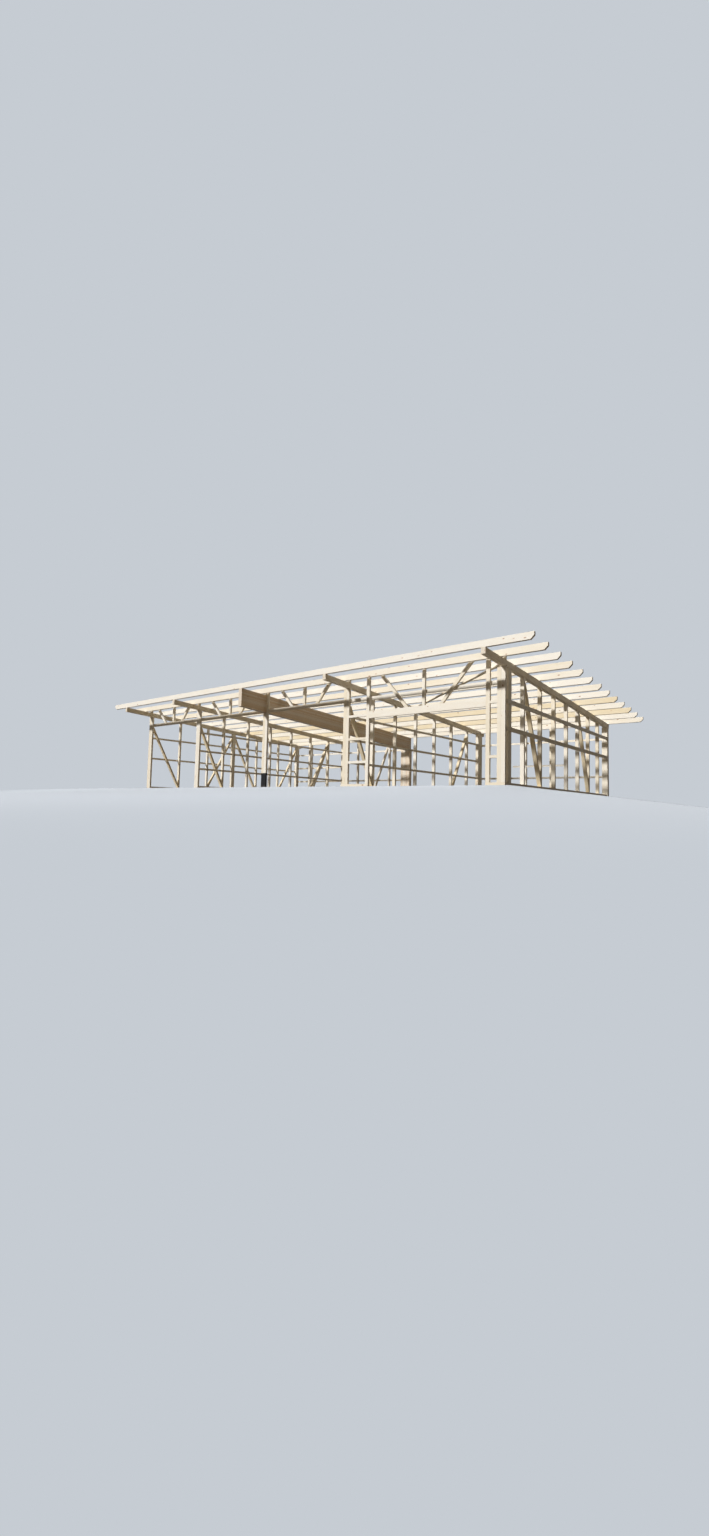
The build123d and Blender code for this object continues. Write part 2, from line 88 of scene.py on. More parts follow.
@dataclass
class Wiring:
    """A short way to write a node tree.

    Attributes:
        tree: The node tree that is written to.
    """

    tree: bpy.types.NodeTree

    def add(self, kind: str, inputs: dict | None = None, **settings: object) -> bpy.types.Node:
        """Add a node.

        Args:
            kind: The node's type name.
            inputs: Values or sockets for the node's inputs, by name or number.
            **settings: Properties of the node, set before its inputs.

        Returns:
            The new node.
        """
        node = self.tree.nodes.new(kind)
        for name, value in settings.items():
            setattr(node, name, value)
        for key, value in (inputs or {}).items():
            self.feed(node.inputs[key], value)
        return node

    def feed(self, socket: Socket, value: object) -> None:
        """Link a socket to an input, or set the input's own value."""
        if isinstance(value, Socket):
            self.tree.links.new(value, socket)
        else:
            socket.default_value = value

    def maths(self, operation: str, *values: object, clamp: bool = False) -> Socket:
        """Add a Math node, in a shader tree or a geometry tree, and give its result."""
        inputs = dict(enumerate(values))
        return self.add("ShaderNodeMath", inputs, operation=operation, use_clamp=clamp).outputs[0]

    def times(self, first: object, second: object, clamp: bool = False) -> Socket:
        """Multiply two numbers."""
        return self.maths("MULTIPLY", first, second, clamp=clamp)

    def rest(self, value: object, clamp: bool = False) -> Socket:
        """What is left of 1 after a number."""
        return self.maths("SUBTRACT", 1.0, value, clamp=clamp)

    def vector(self, operation: str, *values: object) -> Socket:
        """Add a Vector Math node and give its vector result."""
        node = self.add("ShaderNodeVectorMath", dict(enumerate(values)), operation=operation)
        return node.outputs["Vector"]

    def length(self, vector: object) -> Socket:
        """Length of a vector."""
        return self.add("ShaderNodeVectorMath", {0: vector}, operation="LENGTH").outputs["Value"]

    def split(self, vector: object) -> list[Socket]:
        """The three numbers of a vector."""
        return list(self.add("ShaderNodeSeparateXYZ", {0: vector}).outputs)

    def join(self, *values: object) -> Socket:
        """Up to three numbers as a vector, the missing ones 0."""
        return self.add("ShaderNodeCombineXYZ", dict(enumerate(values))).outputs[0]

    def smooth(self, value: object, low: float, high: float) -> Socket:
        """Map a value smoothly from 0 at low to 1 at high."""
        inputs = {"Value": value, "From Min": low, "From Max": high}
        return self.add("ShaderNodeMapRange", inputs, interpolation_type="SMOOTHSTEP").outputs["Result"]

    def crossing(self, grey: object, width: float) -> Socket:
        """1 where a noise passes its middle value, falling to 0 at a small width from it."""
        return self.rest(self.smooth(self.maths("ABSOLUTE", self.maths("SUBTRACT", grey, 0.5)), 0.0, width))

    def blend(self, share: object, first: object, second: object, kind: str = "MIX") -> Socket:
        """Mix two colours and give the result."""
        node = self.add("ShaderNodeMix", data_type="RGBA", blend_type=kind, clamp_factor=True)
        for number, value in ((0, share), (6, first), (7, second)):
            self.feed(node.inputs[number], value)
        return node.outputs[2]

    def noise(self, place: object, scale: float, detail: float = 2.0, rough: float = 0.5) -> Socket:
        """Add a noise texture and give its grey value."""
        inputs = {"Vector": place, "Scale": scale, "Detail": detail, "Roughness": rough}
        return self.add("ShaderNodeTexNoise", inputs).outputs[0]

    def drawn_out(
        self, place: object, scales: tuple[float, float, float], detail: float = 2.0, rough: float = 0.5
    ) -> Socket:
        """Add a noise texture with a scale of its own along each axis, and give its grey value."""
        return self.noise(self.vector("MULTIPLY", place, scales), 1.0, detail, rough)

    def looked_at(self, ray: bpy.types.Node) -> Socket:
        """1 for rays of the camera, of gloss and through glass, 0 for those that carry light."""
        seen = self.maths("MAXIMUM", ray.outputs["Is Camera Ray"], ray.outputs["Is Glossy Ray"])
        return self.maths("MAXIMUM", seen, ray.outputs["Is Transmission Ray"])

    def moved(self, mesh: Socket, offset: object = (0.0, 0.0, 0.0), turn: tuple = (0.0, 0.0, 0.0)) -> Socket:
        """Move and turn a mesh."""
        inputs = {"Geometry": mesh, "Translation": offset, "Rotation": turn}
        return self.add("GeometryNodeTransform", inputs).outputs[0]


def colour(red: float, green: float, blue: float) -> Colour:
    """Linear colour from the values 0 to 255 that a paint chart gives."""

    def linear(value: float) -> float:
        """Turn one value from 0 to 255 into a linear one."""
        share = value / 255.0
        return share / 12.92 if share <= 0.04045 else ((share + 0.055) / 1.055) ** 2.4

    return (linear(red), linear(green), linear(blue), 1.0)


class Finish:
    """A material. A subclass gives its name and writes its nodes."""

    name: str

    def build(self) -> Material:
        """Build the material.

        Returns:
            The material.
        """
        material = bpy.data.materials.new(self.name)
        material.use_nodes = True
        tree = material.node_tree
        self.write(Wiring(tree), tree.nodes["Principled BSDF"])
        return material

    def write(self, w: Wiring, shader: bpy.types.Node) -> None:
        """Write the nodes.

        Args:
            w: The wiring of the material.
            shader: Its Principled node.
        """
        raise NotImplementedError


def feed_shader(
    w: Wiring, shader: bpy.types.Node, inputs: dict[str, object], height: Socket, bump: tuple[float, float]
) -> None:
    """Feed a Principled shader and give it relief.

    Args:
        w: The wiring of the material.
        shader: The Principled node.
        inputs: Values or sockets for its inputs, by name.
        height: Height of the relief, from 0 to 1.
        bump: Strength of the relief, and its depth in metres.
    """
    relief = w.add("ShaderNodeBump", {"Height": height, "Strength": bump[0], "Distance": bump[1]})
    for name, value in {**inputs, "Normal": relief.outputs["Normal"]}.items():
        w.feed(shader.inputs[name], value)


def timber_values(w: Wiring) -> list[Socket]:
    """Read what the dresser wrote on a timber.

    Args:
        w: The wiring of the material.

    Returns:
        The place in the timber, its tone, and 1 on a cut end and 0 on a side.
    """
    kinds = (("grain", "Vector"), ("tone", "Fac"), ("end", "Fac"))
    return [w.add("ShaderNodeAttribute", attribute_name=name).outputs[kind] for name, kind in kinds]


def place_object(name: str, data: bpy.types.ID) -> bpy.types.Object:
    """Add an object to the scene.

    Args:
        name: Its name.
        data: Its mesh, light or camera.

    Returns:
        The object.
    """
    piece = bpy.data.objects.new(name, data)
    bpy.context.scene.collection.objects.link(piece)
    return piece


def place_mesh(name: str, mesh: bmesh.types.BMesh, material: Material) -> bpy.types.Object:
    """Add a mesh to the scene.

    Args:
        name: Name of the mesh and of its object.
        mesh: The mesh, which is used up.
        material: Its finish.

    Returns:
        The object.
    """
    data = bpy.data.meshes.new(name)
    mesh.to_mesh(data)
    mesh.free()
    piece = place_object(name, data)
    data.materials.append(material)
    return piece


@dataclass(frozen=True)
class SpruceGrain:
    """Solid grain of softwood, as a node group that all timber finishes share.

    The group reads a place in the timber's own metres, with X along the grain and the pith on the
    X axis, so growth rings meet the ends as arcs and the faces as long flames.

    Attributes:
        ring_width: Width of a growth ring.
        pale: Colour of the palest wood.
        honey: Colour of the yellowest wood.
        late: Tint of the late wood in each ring.
        streak: Colour of the darker fibres.
        cut_end: Tint of a cut end.
        round_knot: Colour of the wood round a knot.
        knot: Colour of a knot's heart.
        crack_shade: Dark colour painted into the drying cracks, a painted shade that stands for the shadow
            inside the open gaps.
    """

    ring_width: float = 0.0065
    pale: Colour = colour(246, 243, 235)
    honey: Colour = colour(231, 214, 177)
    late: Colour = colour(223, 203, 168)
    streak: Colour = colour(186, 146, 92)
    cut_end: Colour = colour(200, 170, 122)
    round_knot: Colour = colour(190, 134, 78)
    knot: Colour = colour(128, 88, 56)
    crack_shade: Colour = colour(92, 66, 44)

    def group(self) -> bpy.types.NodeTree:
        """Build the node group.

        Returns:
            The group, with the inputs Place, Tone and End and the outputs Color, Roughness and Height.
        """
        tree = bpy.data.node_groups.new("spruce_grain", "ShaderNodeTree")
        for name, way, kind in (
            ("Place", "INPUT", "Vector"),
            ("Tone", "INPUT", "Float"),
            ("End", "INPUT", "Float"),
            ("Color", "OUTPUT", "Color"),
            ("Roughness", "OUTPUT", "Float"),
            ("Height", "OUTPUT", "Float"),
        ):
            tree.interface.new_socket(name=name, in_out=way, socket_type=f"NodeSocket{kind}")
        w = Wiring(tree)
        source = w.add("NodeGroupInput")
        place, tone, end = (source.outputs[name] for name in ("Place", "Tone", "End"))

        rings, bend = self._rings(w, place)
        knots, halo = self._knots(w, place)
        fibre = w.drawn_out(place, (9.0, 420.0, 420.0), 3.0, 0.62)
        cloud = w.drawn_out(place, (1.1, 6.0, 6.0), 3.0, 0.55)
        checks = self._checks(w, place, end)

        yellow = w.maths("ADD", tone, w.times(w.maths("SUBTRACT", cloud, 0.5), 0.55), clamp=True)
        yellow = w.times(yellow, w.maths("MULTIPLY_ADD", end, -0.75, 1.0))
        wood = w.blend(yellow, self.pale, self.honey)
        wood = w.blend(w.times(rings, w.maths("MULTIPLY_ADD", end, 0.16, 0.36), clamp=True), wood, self.late)
        wood = w.blend(w.times(w.smooth(fibre, 0.48, 0.72), 0.16), wood, self.streak)
        wood = w.blend(w.times(end, 0.16), wood, self.cut_end, "MULTIPLY")
        wood = w.blend(w.times(halo, 0.45), wood, self.round_knot)
        wood = w.blend(knots, wood, self.knot)
        # Painted shade: the drying cracks are darkened in place of the shadow that falls inside them.
        wood = w.blend(w.times(checks, 0.5), wood, self.crack_shade)

        rough = w.maths("MULTIPLY_ADD", fibre, 0.18, 0.56)
        rough = w.maths("ADD", rough, w.times(end, 0.14), clamp=True)
        height = w.maths("MULTIPLY_ADD", rings, 0.35, w.times(fibre, 0.65))
        height = w.maths("SUBTRACT", height, w.times(checks, 1.6))
        height = w.maths("ADD", height, w.times(knots, 0.3))
        height = w.maths("ADD", height, w.times(bend, 0.2))
        w.add("NodeGroupOutput", {"Color": wood, "Roughness": rough, "Height": height})
        return tree

    def _rings(self, w: Wiring, place: Socket) -> tuple[Socket, Socket]:
        """Growth rings about the pith, wandering along the timber.

        Args:
            w: The wiring of the group.
            place: The place in the timber.

        Returns:
            The share of late wood from 0 to 1, and the slow noise that bends the rings.
        """
        bend = w.drawn_out(place, (0.8, 5.0, 5.0))
        slow = w.vector("MULTIPLY", place, (0.55, 1.2, 1.2))
        wander = w.add("ShaderNodeTexNoise", {"Vector": slow, "Scale": 1.0, "Detail": 1.0}).outputs[1]
        shift = w.vector("MULTIPLY", w.vector("SUBTRACT", wander, (0.5, 0.5, 0.5)), (0.0, 0.085, 0.085))
        radius = w.length(w.vector("MULTIPLY", w.vector("ADD", place, shift), (0.0, 1.0, 1.0)))
        count = w.maths("ADD", w.maths("DIVIDE", radius, self.ring_width), w.times(bend, 2.4))
        step = w.maths("FRACT", count)
        return w.times(w.smooth(step, 0.35, 0.9), w.rest(w.smooth(step, 0.93, 1.0))), bend

    def _knots(self, w: Wiring, place: Socket) -> tuple[Socket, Socket]:
        """Scattered knots and the darker wood round them.

        Args:
            w: The wiring of the group.
            place: The place in the timber.

        Returns:
            The masks of the knots and of the wood round them.
        """
        stretched = w.vector("MULTIPLY", place, (3.1, 6.2, 6.2))
        inputs = {"Vector": stretched, "Scale": 1.0, "Randomness": 1.0}
        cells = w.add("ShaderNodeTexVoronoi", inputs, feature="F1")
        pick = w.add("ShaderNodeSeparateColor", {0: cells.outputs["Color"]}).outputs[0]
        chosen = w.maths("GREATER_THAN", pick, 0.55)
        gap = w.maths("DIVIDE", cells.outputs["Distance"], w.maths("MULTIPLY_ADD", pick, 0.12, -0.01))
        heart = w.times(w.rest(w.smooth(gap, 0.75, 1.15)), chosen)
        halo = w.times(w.rest(w.smooth(gap, 1.0, 2.4)), chosen)
        return w.times(heart, 0.85), halo

    def _checks(self, w: Wiring, place: Socket, end: Socket) -> Socket:
        """Fine drying cracks along the grain, and from the pith outwards on the ends.

        Args:
            w: The wiring of the group.
            place: The place in the timber.
            end: 1 on a cut end, 0 on a side.

        Returns:
            The mask of the cracks.
        """
        near = w.crossing(w.drawn_out(place, (0.7, 34.0, 34.0), 1.0, 0.4), 0.004)
        patch = w.drawn_out(place, (0.9, 3.0, 3.0), 0.0)
        along = w.times(w.times(near, w.smooth(patch, 0.62, 0.72)), w.rest(end, clamp=True))
        _, across, up = w.split(place)
        angle = w.maths("ARCTAN2", up, across)
        ray = w.crossing(w.noise(w.join(w.times(angle, 5.0)), 1.0, 0.0), 0.012)
        return w.maths("ADD", along, w.times(w.times(ray, end), 0.6), clamp=True)


@dataclass(frozen=True)
class SawnSpruce(Finish):
    """Fresh sawn and planed spruce, one piece of wood to each timber.

    Attributes:
        grain: The node group of the solid grain.
        name: The material's name.
        relief: Height of the grain's relief in metres.
    """

    grain: bpy.types.NodeTree
    name: str = "sawn_spruce"
    relief: float = 0.0006

    def write(self, w: Wiring, shader: bpy.types.Node) -> None:
        """Write the nodes."""
        place, tone, end = timber_values(w)
        inputs = {"Place": place, "Tone": tone, "End": end}
        wood = w.add("ShaderNodeGroup", inputs, node_tree=self.grain).outputs
        inputs = {"Base Color": wood["Color"], "Roughness": wood["Roughness"], "Specular IOR Level": 0.32}
        feed_shader(w, shader, inputs, wood["Height"], (0.55, self.relief))


@dataclass(frozen=True)
class GluedSpruce(Finish):
    """Glued laminated spruce: planed boards of even thickness with thin dark glue lines.

    Attributes:
        grain: The node group of the solid grain.
        name: The material's name.
        board: Thickness of one board.
        glue: Width of a glue line.
        relief: Height of the grain's relief in metres.
        aged: Colour towards which the darker boards go.
        glue_line: Colour of the glue.
    """

    grain: bpy.types.NodeTree
    name: str = "glued_spruce"
    board: float = 0.045
    glue: float = 0.0016
    relief: float = 0.0004
    aged: Colour = colour(182, 118, 78)
    glue_line: Colour = colour(96, 66, 42)

    def write(self, w: Wiring, shader: bpy.types.Node) -> None:
        """Write the nodes, which give each board its own tone and its own piece of grain."""
        place, tone, end = timber_values(w)
        along, across, up = w.split(place)
        stack = w.maths("DIVIDE", up, self.board)
        number, inside = w.maths("FLOOR", stack), w.maths("FRACT", stack)
        draw = w.add("ShaderNodeTexWhiteNoise", {"W": number}, noise_dimensions="1D").outputs
        shift = w.vector("MULTIPLY", draw["Color"], (40.0, 0.22, 0.3))
        board_place = w.vector("ADD", w.join(along, across, w.times(inside, self.board)), shift)
        board_tone = w.maths("ADD", tone, w.maths("MULTIPLY_ADD", draw["Value"], 0.6, -0.25), clamp=True)
        inputs = {"Place": board_place, "Tone": board_tone, "End": end}
        wood = w.add("ShaderNodeGroup", inputs, node_tree=self.grain).outputs
        half = self.glue / self.board / 2.0
        edge = w.maths("MINIMUM", inside, w.rest(inside))
        line = w.rest(w.smooth(edge, half, half * 2.2))
        shade = w.maths("MULTIPLY_ADD", draw["Value"], 0.16, w.times(tone, 0.24))
        shade = w.times(shade, w.maths("MULTIPLY_ADD", end, -0.75, 1.0))
        toned = w.blend(shade, wood["Color"], self.aged)
        inputs = {
            "Base Color": w.blend(w.times(line, 0.55), toned, self.glue_line),
            "Roughness": w.maths("SUBTRACT", wood["Roughness"], 0.1),
            "Specular IOR Level": 0.36,
        }
        height = w.maths("SUBTRACT", wood["Height"], w.times(line, 0.8))
        feed_shader(w, shader, inputs, height, (0.5, self.relief))


@dataclass(frozen=True)
class BlackPaint(Finish):
    """Black paint on rolled steel, rolled on, with dust near the floor.

    Attributes:
        name: The material's name.
        paint: Colour of the paint.
        worn: Colour of the scuffs.
        dust: Colour of the dust.
        dust_top: Height above the floor at which the dust ends.
        relief: Depth of the roller's marks in metres.
    """

    name: str = "black_painted_steel"
    paint: Colour = colour(17, 18, 20)
    worn: Colour = colour(62, 60, 58)
    dust: Colour = colour(112, 105, 95)
    dust_top: float = 0.16
    relief: float = 0.0004

    def write(self, w: Wiring, shader: bpy.types.Node) -> None:
        """Write the nodes."""
        place = w.add("ShaderNodeTexCoord").outputs["Object"]
        speck = w.noise(place, 55.0, 4.0, 0.6)
        stroke = w.drawn_out(place, (160.0, 160.0, 12.0))
        low = w.rest(w.smooth(w.split(place)[2], 0.0, self.dust_top))
        dusty = w.times(w.times(low, w.smooth(speck, 0.3, 0.8)), 0.4)
        scuff = w.times(w.smooth(w.noise(place, 21.0, 5.0, 0.65), 0.64, 0.72), 0.3)
        rough = w.maths("MULTIPLY_ADD", stroke, 0.16, 0.42)
        inputs = {
            "Base Color": w.blend(dusty, w.blend(scuff, self.paint, self.worn), self.dust),
            "Roughness": w.maths("ADD", rough, w.times(dusty, 0.6), clamp=True),
            "Specular IOR Level": 0.2,
        }
        feed_shader(w, shader, inputs, w.maths("ADD", stroke, speck), (0.25, self.relief))


@dataclass(frozen=True)
class ZincSteel(Finish):
    """Zinc-coated steel of brackets, screws, nails and anchors.

    Attributes:
        name: The material's name.
        light: Colour of the bright crystals.
        dark: Colour of the dull crystals.
        rough: Least roughness of the coat.
    """

    name: str = "zinc_steel"
    light: Colour = colour(196, 199, 201)
    dark: Colour = colour(150, 154, 158)
    rough: float = 0.34

    def write(self, w: Wiring, shader: bpy.types.Node) -> None:
        """Write the nodes."""
        place = w.add("ShaderNodeTexCoord").outputs["Object"]
        cells = w.add("ShaderNodeTexVoronoi", {"Vector": place, "Scale": 170.0})
        spangle = w.add("ShaderNodeSeparateColor", {0: cells.outputs["Color"]}).outputs[0]
        dull = w.maths("MULTIPLY_ADD", w.noise(place, 60.0, 3.0), 0.5, w.times(spangle, 0.5))
        w.feed(shader.inputs["Base Color"], w.blend(dull, self.light, self.dark))
        w.feed(shader.inputs["Roughness"], w.maths("MULTIPLY_ADD", spangle, 0.2, self.rough))
        shader.inputs["Metallic"].default_value = 0.85


@dataclass(frozen=True)
class StudioFloor(Finish):
    """Pale floor that keeps the frame's shadow and fades into the backdrop round it.

    Attributes:
        name: The material's name.
        tint: Colour of the backdrop, which the lit floor comes near to.
        lit: Colour of the floor's surface, as seen.
        bounce: Colour with which the floor lights the frame from below.
        veil: Share of the backdrop's colour in the floor under the frame, which softens the shadow.
        fade_start: Distance from the origin at which the fade starts.
        fade_end: Distance from the origin at which only the backdrop's colour is left.
    """

    name: str = "studio_floor"
    tint: Colour = colour(198, 204, 211)
    lit: Colour = colour(220, 228, 239)
    bounce: Colour = colour(90, 79, 65)
    veil: float = 0.3
    fade_start: float = 15.0
    fade_end: float = 27.0

    def write(self, w: Wiring, shader: bpy.types.Node) -> None:
        """Write the nodes."""
        reach = w.length(w.add("ShaderNodeTexCoord").outputs["Object"])
        ray = w.add("ShaderNodeLightPath")
        base = w.blend(ray.outputs["Is Diffuse Ray"], self.lit, self.bounce)
        w.feed(shader.inputs["Base Color"], base)
        shader.inputs["Roughness"].default_value = 0.9
        shader.inputs["Specular IOR Level"].default_value = 0.1
        glow = w.add("ShaderNodeEmission", {"Color": self.tint, "Strength": 1.0})
        far = w.smooth(reach, self.fade_start, self.fade_end)
        share = w.times(w.looked_at(ray), w.maths("MULTIPLY_ADD", far, 1.0 - self.veil, self.veil))
        mix = w.add("ShaderNodeMixShader", {0: share, 1: shader.outputs[0], 2: glow.outputs[0]})
        w.feed(w.tree.nodes["Material Output"].inputs["Surface"], mix.outputs[0])


@dataclass(frozen=True)
class Box:
    """Lowest and highest corners of one solid.

    Attributes:
        low: The lowest corner.
        high: The highest corner.
    """

    low: Vector
    high: Vector

    @classmethod
    def of(cls, node: str) -> "Box":
        """Box of a whole CAD node."""
        return cls(*(Vector(corner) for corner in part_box(node)))

    @property
    def middle(self) -> Vector:
        """The box's middle."""
        return (self.low + self.high) / 2

    @property
    def size(self) -> Vector:
        """The box's length along each axis."""
        return self.high - self.low


@dataclass(frozen=True)
class Growth:
    """How one timber grew.

    Attributes:
        tone: Its tone, from 0 for pale to 1 for honey.
        pith: Way from its middle to the pith, across its widest face and along that face.
        tilt: Lean of the pith in both directions, as a share of the way along the timber.
        start: Place of its middle along the grain.
    """

    tone: float
    pith: tuple[float, float]
    tilt: tuple[float, float]
    start: float

    @classmethod
    def drawn(cls, draw: random.Random, cut: Cut, tone: float | None) -> "Growth":
        """Draw the growth of a timber.

        Args:
            draw: The source of chance.
            cut: How the timber is made.
            tone: Its tone, or None where that is drawn too.

        Returns:
            The growth.
        """
        base = tone if tone is not None else draw.uniform(0.05, 0.5)
        shade = min(1.0, max(0.0, base + draw.uniform(-0.08, 0.08)))
        pith = (draw.uniform(-0.06, 0.06), draw.choice((-1, 1)) * draw.uniform(0.03, 0.14))
        if cut is Cut.GLUED:
            pith = (draw.uniform(-0.02, 0.02), 0.0)
        tilt = (draw.uniform(-0.012, 0.012), draw.uniform(-0.012, 0.012) if cut is Cut.SAWN else 0.0)
        return cls(shade, pith, tilt, draw.uniform(0.0, 60.0))


@dataclass
class TimberDresser:
    """Turns plain CAD timbers into wood: eased edges, grain along each timber, tone and end grain.

    Attributes:
        materials: The finish of each way in which a timber is made.
        easing: Width of the eased edges.
        end_share: How far a face must turn to the grain's direction to count as a cut end.
        side_share: How far it may turn to that direction and still count as a side.
        merge: Distance within which vertices are one.
        flat: Angle in radians within which faces are one.
        sharp: Angle in radians from which an edge is eased.
        tones: Tone of whole nodes, from 0 for pale to 1 for honey.
        solids: Boxes of each node's solids, filled in as nodes are dressed.
    """

    materials: dict[Cut, Material]
    easing: float = 0.004
    end_share: float = 0.3
    side_share: float = 0.2
    merge: float = 1e-5
    flat: float = 0.002
    sharp: float = 0.2
    tones: dict[str, float] = field(default_factory=dict)
    solids: dict[str, list[Box]] = field(default_factory=dict)

    def dress(self, node: str, cut: Cut) -> bpy.types.Object:
        """Dress one CAD node and put the result in its place.

        Args:
            node: The node's name.
            cut: How its timbers are made.

        Returns:
            The finished piece.
        """
        mesh = bmesh.new()
        mesh.from_mesh(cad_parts[node].data)
        bmesh.ops.remove_doubles(mesh, verts=mesh.verts, dist=self.merge)
        bmesh.ops.dissolve_limit(mesh, angle_limit=self.flat, verts=mesh.verts, edges=mesh.edges)
        piece = self.finish(node, mesh, cut)
        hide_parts(node)
        return piece

    def add(self, name: str, box: Box) -> bpy.types.Object:
        """Add a square sawn timber that is no CAD node.

        Args:
            name: The timber's name.
            box: Its lowest and highest corners.

        Returns:
            The finished piece.
        """
        mesh = bmesh.new()
        bmesh.ops.create_cube(mesh, size=1.0)
        bmesh.ops.scale(mesh, vec=box.size, verts=mesh.verts)
        bmesh.ops.translate(mesh, vec=box.middle, verts=mesh.verts)
        return self.finish(name, mesh, Cut.SAWN)

    def finish(self, node: str, mesh: bmesh.types.BMesh, cut: Cut) -> bpy.types.Object:
        """Ease the edges of a piece's timbers and lay the grain along each of them.

        Args:
            node: The name of the node or of the added timber.
            mesh: The mesh of its timbers, which is used up.
            cut: How its timbers are made.

        Returns:
            The finished piece.
        """
        grain = mesh.verts.layers.float_vector.new("grain")
        tone = mesh.faces.layers.float.new("tone")
        end = mesh.faces.layers.float.new("end")
        draw = random.Random(zlib.crc32(node.encode()))
        groups = self._split(mesh)
        self.solids[node] = [self._box(group) for group in groups]
        axes = [self._axes(group) for group in groups]
        owner = mesh.faces.layers.int.new("owner")
        for number, group in enumerate(groups):
            for face in {face for vert in group for face in vert.link_faces}:
                face[owner] = number
        edges = [edge for edge in mesh.edges if edge.is_manifold and edge.calc_face_angle() > self.sharp]
        bmesh.ops.bevel(
            mesh, geom=edges, offset=self.easing, segments=2, profile=0.6, affect="EDGES", clamp_overlap=True
        )
        for number, (along, wide, deep) in enumerate(axes):
            middle = self.solids[node][number].middle
            growth = Growth.drawn(draw, cut, self.tones.get(node))
            for face in mesh.faces:
                if face[owner] != number:
                    continue
                face[tone] = growth.tone
                face[end] = 1.0 if abs(face.normal.dot(along)) > self.end_share else 0.0
                for vert in face.verts:
                    out = vert.co - middle
                    run = out.dot(along)
                    vert[grain] = Vector((
                        run + growth.start,
                        out.dot(wide) + growth.pith[0] + run * growth.tilt[0],
                        out.dot(deep) + growth.pith[1] + run * growth.tilt[1],
                    ))
        mesh.faces.layers.int.remove(owner)
        piece = place_mesh(f"{node}.wood", mesh, self.materials[cut])
        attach(piece, BODY)
        return piece

    def _split(self, mesh: bmesh.types.BMesh) -> list[list[bmesh.types.BMVert]]:
        """Find the separate solids of a mesh, in the order of their middles.

        Args:
            mesh: The merged mesh.

        Returns:
            The vertices of each solid.
        """
        left = set(mesh.verts)
        groups = []
        for first in mesh.verts:
            if first not in left:
                continue
            group, waiting = [], [first]
            left.discard(first)
            while waiting:
                vert = waiting.pop()
                group.append(vert)
                for link in vert.link_edges:
                    other = link.other_vert(vert)
                    if other in left:
                        left.discard(other)
                        waiting.append(other)
            groups.append(group)
        groups.sort(key=lambda group: tuple(round(value, 3) for value in self._box(group).middle))
        return groups

    @staticmethod
    def _box(group: Sequence[bmesh.types.BMVert]) -> Box:
        """Box round the vertices of one solid."""
        low = Vector(min(vert.co[axis] for vert in group) for axis in range(3))
        high = Vector(max(vert.co[axis] for vert in group) for axis in range(3))
        return Box(low, high)

    def _axes(self, group: Sequence[bmesh.types.BMVert]) -> tuple[Vector, Vector, Vector]:
        """Directions of one timber: along the grain, across its widest face, and along that face.

        Args:
            group: The vertices of the timber.

        Returns:
            Three unit vectors, square to each other.
        """

        def rank(size: float, middle: Vector) -> tuple[float, ...]:
            """Order by size and among equals by place, so that each run picks the same one."""
            return (round(size, 4), *(round(value, 3) for value in middle))

        edges = {edge for vert in group for edge in vert.link_edges}
        ends = max(
            ([vert.co for vert in edge.verts] for edge in edges),
            key=lambda ends: rank((ends[1] - ends[0]).length, (ends[0] + ends[1]) / 2),
        )
        along = (ends[1] - ends[0]).normalized()
        faces = {face for vert in group for face in vert.link_faces}
        sides = [face for face in faces if abs(face.normal.dot(along)) < self.side_share]
        widest = max(sides, key=lambda face: rank(face.calc_area(), face.calc_center_median()))
        wide = (widest.normal - along * widest.normal.dot(along)).normalized()
        return along, wide, along.cross(wide)


@dataclass
class AddedTimbers:
    """Two small timbers beside the frame's own ones.

    One is the upright cheek that stands on the front chord and keeps the deep binder from tipping. The
    other is a spare lath across two studs of the rear wall.

    Attributes:
        dresser: The dresser, which knows the box of every solid.
        cheek_width: Width of the cheek along the front.
        lath_start: Left end of the lath.
        lath_end: Right end of the lath.
        lath_level: Height of the lath's underside.
        lath_height: Height of the lath.
        lath_thickness: Thickness of the lath.
    """

    dresser: TimberDresser
    cheek_width: float = 0.12
    lath_start: float = 5.65
    lath_end: float = 8.6
    lath_level: float = 1.55
    lath_height: float = 0.098
    lath_thickness: float = 0.024

    def cheek(self) -> bpy.types.Object:
        """Stand the cheek against the binder's right side, from the chord to the top plate."""
        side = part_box(BINDER)[1][0]
        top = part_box("front_top_plate")[0][2]
        chord = min(self.dresser.solids["front_chords"], key=lambda box: abs(box.low.x - side))
        low = Vector((side, chord.low.y, chord.high.z))
        high = Vector((side + self.cheek_width, chord.high.y, top))
        return self.dresser.add("binder_cheek_c", Box(low, high))

    def lath(self) -> bpy.types.Object:
        """Nail the lath to the inner face of the rear studs."""
        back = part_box("rear_studs")[0][1]
        low = Vector((self.lath_start, back - self.lath_thickness, self.lath_level))
        high = Vector((self.lath_end, back, self.lath_level + self.lath_height))
        return self.dresser.add("rear_lath", Box(low, high))

    def build(self) -> None:
        """Build both timbers."""
        self.cheek()
        self.lath()


@dataclass(frozen=True)
class Spot:
    """Place of one fastener.

    Attributes:
        place: Its foot on the surface.
        out: Direction away from the surface.
        up: Direction to which the fastener's own Y turns.
    """

    place: Vector
    out: Vector
    up: Vector = UP

    def turn(self) -> Euler:
        """Turn that takes the fastener's Z to the way out and its Y near to the way up."""
        out = self.out.normalized()
        side = self.up.cross(out)
        if side.length < 1e-4:
            side = RIGHT.cross(out)
        side.normalize()
        matrix = Matrix((side, out.cross(side), out)).transposed()
        return matrix.to_euler()


